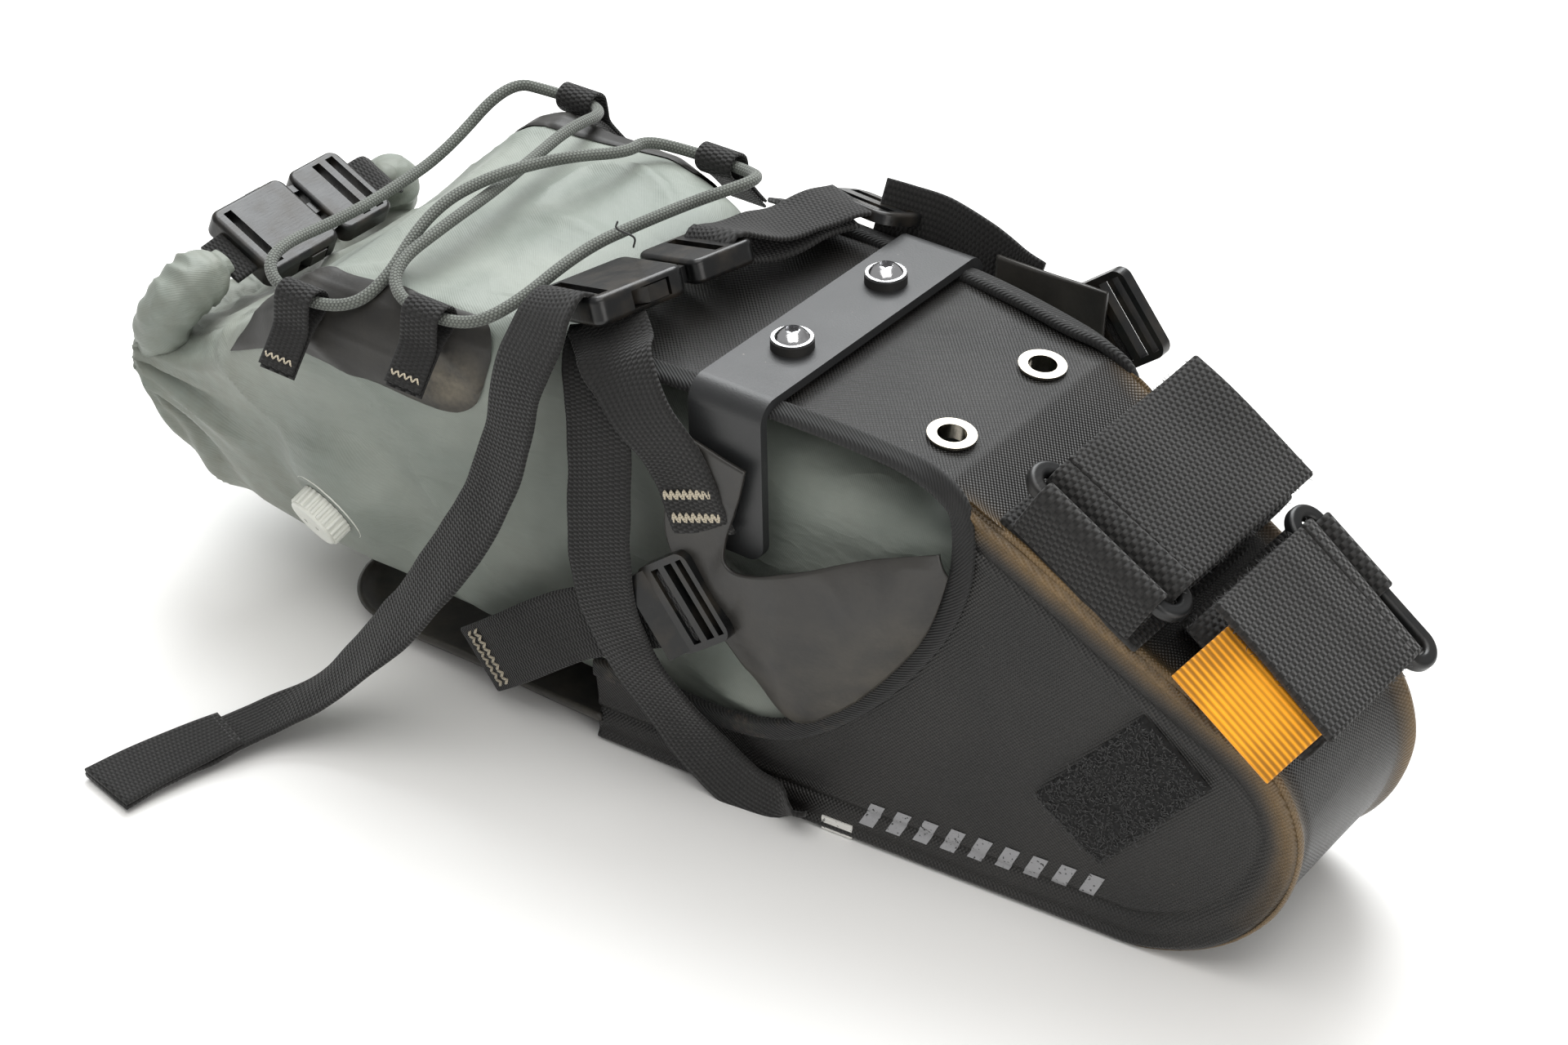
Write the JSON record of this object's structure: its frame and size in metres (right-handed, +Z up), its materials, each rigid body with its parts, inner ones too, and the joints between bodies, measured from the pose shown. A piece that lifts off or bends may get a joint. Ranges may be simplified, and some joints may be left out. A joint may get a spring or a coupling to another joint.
{
  "type": "saddle bag",
  "caption": "Wedge-shaped bikepacking seat-pack holster with a roll-top dry bag, a bracket for the saddle rails, two seatpost straps and a compression strap.",
  "frame": {"origin": "on the ground under the middle of the saddle bracket, between its two screws", "axes": "+X towards the nose (the seatpost end), +Y to the left side, +Z up"},
  "size_m": [0.4591, 0.2593, 0.1701],
  "materials": {
    "shell_cloth": "coated woven, semi-gloss",
    "flap_cloth": "rubber-coated, matte",
    "binding_twill": "twill tape",
    "inner_plastic": "matte",
    "nickel": "nickel plated",
    "bracket_coat": "satin powder coat",
    "chrome_screw": "polished",
    "black_rubber": "matte",
    "steel_nut": "zinc plated",
    "loop_tape": "fuzzy loop pile",
    "reflective_print": "retroreflective print",
    "white_label": "woven label",
    "buckle_plastic": "moulded, worn edges",
    "ring_plastic": "moulded",
    "orange_tab": "rubberised",
    "bag_cloth": "coated ripstop, satin",
    "webbing": "ribbed webbing",
    "strap_weave": "heavy ribbed webbing",
    "panel_cloth": "coated cloth",
    "cord_sheath": "braided sheath",
    "valve_white": "moulded"
  },
  "bodies": {
    "holster": {"backing_plate": "inner_plastic", "bottom_panel": "shell_cloth", "bracket_nuts": "steel_nut", "bracket_screws": "chrome_screw", "bracket_washers": "black_rubber", "edge_binding_left": "binding_twill", "edge_binding_right": "binding_twill", "eyelets": "nickel", "flap_webbing_left": "webbing", "flap_webbing_right": "webbing", "gusset_panel": "shell_cloth", "loop_patch": "loop_tape", "lower_strap_anchor": "strap_weave", "lower_strap_band": "strap_weave", "lower_strap_ring": "ring_plastic", "main_buckle_plug": "buckle_plastic", "main_buckle_socket": "buckle_plastic", "nose_stiffener": "inner_plastic", "rear_flap": "flap_cloth", "reflective_marks": "reflective_print", "saddle_bracket": "bracket_coat", "seam_label": "white_label", "side_panel_left": "shell_cloth", "side_panel_right": "shell_cloth", "side_webbing_left": "webbing", "side_webbing_right": "webbing", "slider": "buckle_plastic", "strap_tail": "webbing", "top_webbing": "webbing", "upper_strap_anchor": "strap_weave", "upper_strap_band": "strap_weave", "upper_strap_ring": "ring_plastic", "wing_tab_left": "black_rubber", "wing_tab_right": "black_rubber", "wing_webbing_left": "webbing", "wing_webbing_right": "webbing"},
    "valve_cap": {"valve_cap": "valve_white"},
    "main_prong_front": {"main_prong_front": "buckle_plastic"},
    "main_prong_rear": {"main_prong_rear": "buckle_plastic"},
    "closure_prong_front": {"closure_prong_front": "buckle_plastic"},
    "closure_prong_rear": {"closure_prong_rear": "buckle_plastic"},
    "lock_right": {"ladder_lock_right": "buckle_plastic"},
    "lock_left": {"ladder_lock_left": "buckle_plastic"},
    "upper_flap": {"upper_strap_flap": "strap_weave"},
    "lower_flap": {"lower_strap_flap": "strap_weave", "lower_strap_pull_tab": "orange_tab"},
    "dry_bag": {"dry_bag_body": "bag_cloth", "lash_panel_right": "panel_cloth", "lash_panel_left": "panel_cloth", "lash_loop_front_right": "webbing", "lash_loop_rear_right": "webbing", "lash_loop_front_left": "webbing", "lash_loop_rear_left": "webbing", "elastic_cord": "cord_sheath", "valve_base": "valve_white", "closure_roll": "bag_cloth", "closure_webbing": "webbing", "closure_buckle_socket": "buckle_plastic", "closure_buckle_plug": "buckle_plastic"}
  },
  "joints": [
    {"name": "bag_slide", "type": "slide", "parent": "holster", "child": "dry_bag", "axis": [-1, 0, 0], "range_m": [0, 0.3]},
    {"name": "valve_turn", "type": "hinge", "parent": "dry_bag", "child": "valve_cap", "pos_m": [-0.1645, -0.0618, 0.0555], "axis": [-0.18, -0.8798, -0.4399], "range_deg": [0, 90]},
    {"name": "main_prong_front_flex", "type": "hinge", "parent": "holster", "child": "main_prong_front", "pos_m": [-0.04411, -0.02231, 0.16406], "axis": [0.2998, -0.0748, -0.9511], "range_deg": [0, 6], "stiffness_Nm_per_rad": 0.5},
    {"name": "main_prong_rear_flex", "type": "hinge", "parent": "holster", "child": "main_prong_rear", "pos_m": [-0.06238, -0.01776, 0.15794], "axis": [0.2998, -0.0748, -0.9511], "range_deg": [-6, 0], "stiffness_Nm_per_rad": 0.5},
    {"name": "closure_prong_front_flex", "type": "hinge", "parent": "dry_bag", "child": "closure_prong_front", "pos_m": [-0.22957, 0.0112, 0.10523], "axis": [-0.4305, 0, -0.9026], "range_deg": [0, 6], "stiffness_Nm_per_rad": 0.5},
    {"name": "closure_prong_rear_flex", "type": "hinge", "parent": "dry_bag", "child": "closure_prong_rear", "pos_m": [-0.24744, 0.0112, 0.11375], "axis": [-0.4305, 0, -0.9026], "range_deg": [-6, 0], "stiffness_Nm_per_rad": 0.5},
    {"name": "lock_right_tip", "type": "hinge", "parent": "holster", "child": "lock_right", "pos_m": [-0.00522, -0.0636, 0.08429], "axis": [-0.6157, 0, 0.788], "range_deg": [0, 25]},
    {"name": "lock_left_tip", "type": "hinge", "parent": "holster", "child": "lock_left", "pos_m": [0.06378, 0.0696, 0.1438], "axis": [0.6157, 0, -0.788], "range_deg": [0, 25]},
    {"name": "upper_flap_peel", "type": "hinge", "parent": "holster", "child": "upper_flap", "pos_m": [0.11975, -0.02351, 0.13957], "axis": [0.8675, 0, -0.4975], "range_deg": [0, 120]},
    {"name": "lower_flap_peel", "type": "hinge", "parent": "holster", "child": "lower_flap", "pos_m": [0.17147, 0.01908, 0.11138], "axis": [-0.8107, 0, 0.5854], "range_deg": [0, 120]}
  ]
}
